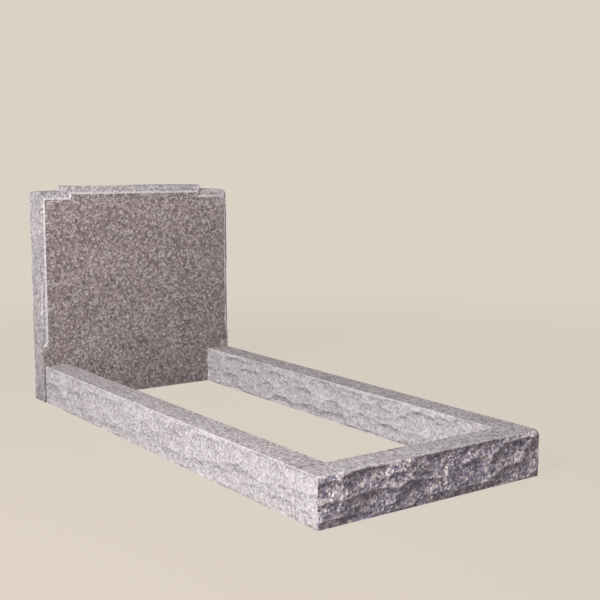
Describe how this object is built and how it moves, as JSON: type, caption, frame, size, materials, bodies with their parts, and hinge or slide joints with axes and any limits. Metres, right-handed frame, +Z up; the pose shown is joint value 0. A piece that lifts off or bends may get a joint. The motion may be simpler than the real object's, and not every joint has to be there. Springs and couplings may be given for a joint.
{
  "type": "kerbed headstone",
  "caption": "Granite grave memorial: a polished headstone with a stepped top stands at the head of a rectangular frame of rock-pitched kerbs round an open grave bed.",
  "frame": {"origin": "on the ground, in the middle of the footprint", "axes": "+Z up, +Y along the grave from the foot kerb to the headstone, +X to the right seen from the foot"},
  "size_m": [0.8954, 1.9926, 0.8923],
  "materials": {
    "polished_granite": "polished face, rock-pitched sides and top",
    "pitched_granite": "fine-rubbed top, rock-pitched faces"
  },
  "bodies": {
    "root": {"headstone": "polished_granite", "left_kerb": "pitched_granite", "right_kerb": "pitched_granite", "foot_kerb": "pitched_granite"}
  },
  "joints": []
}
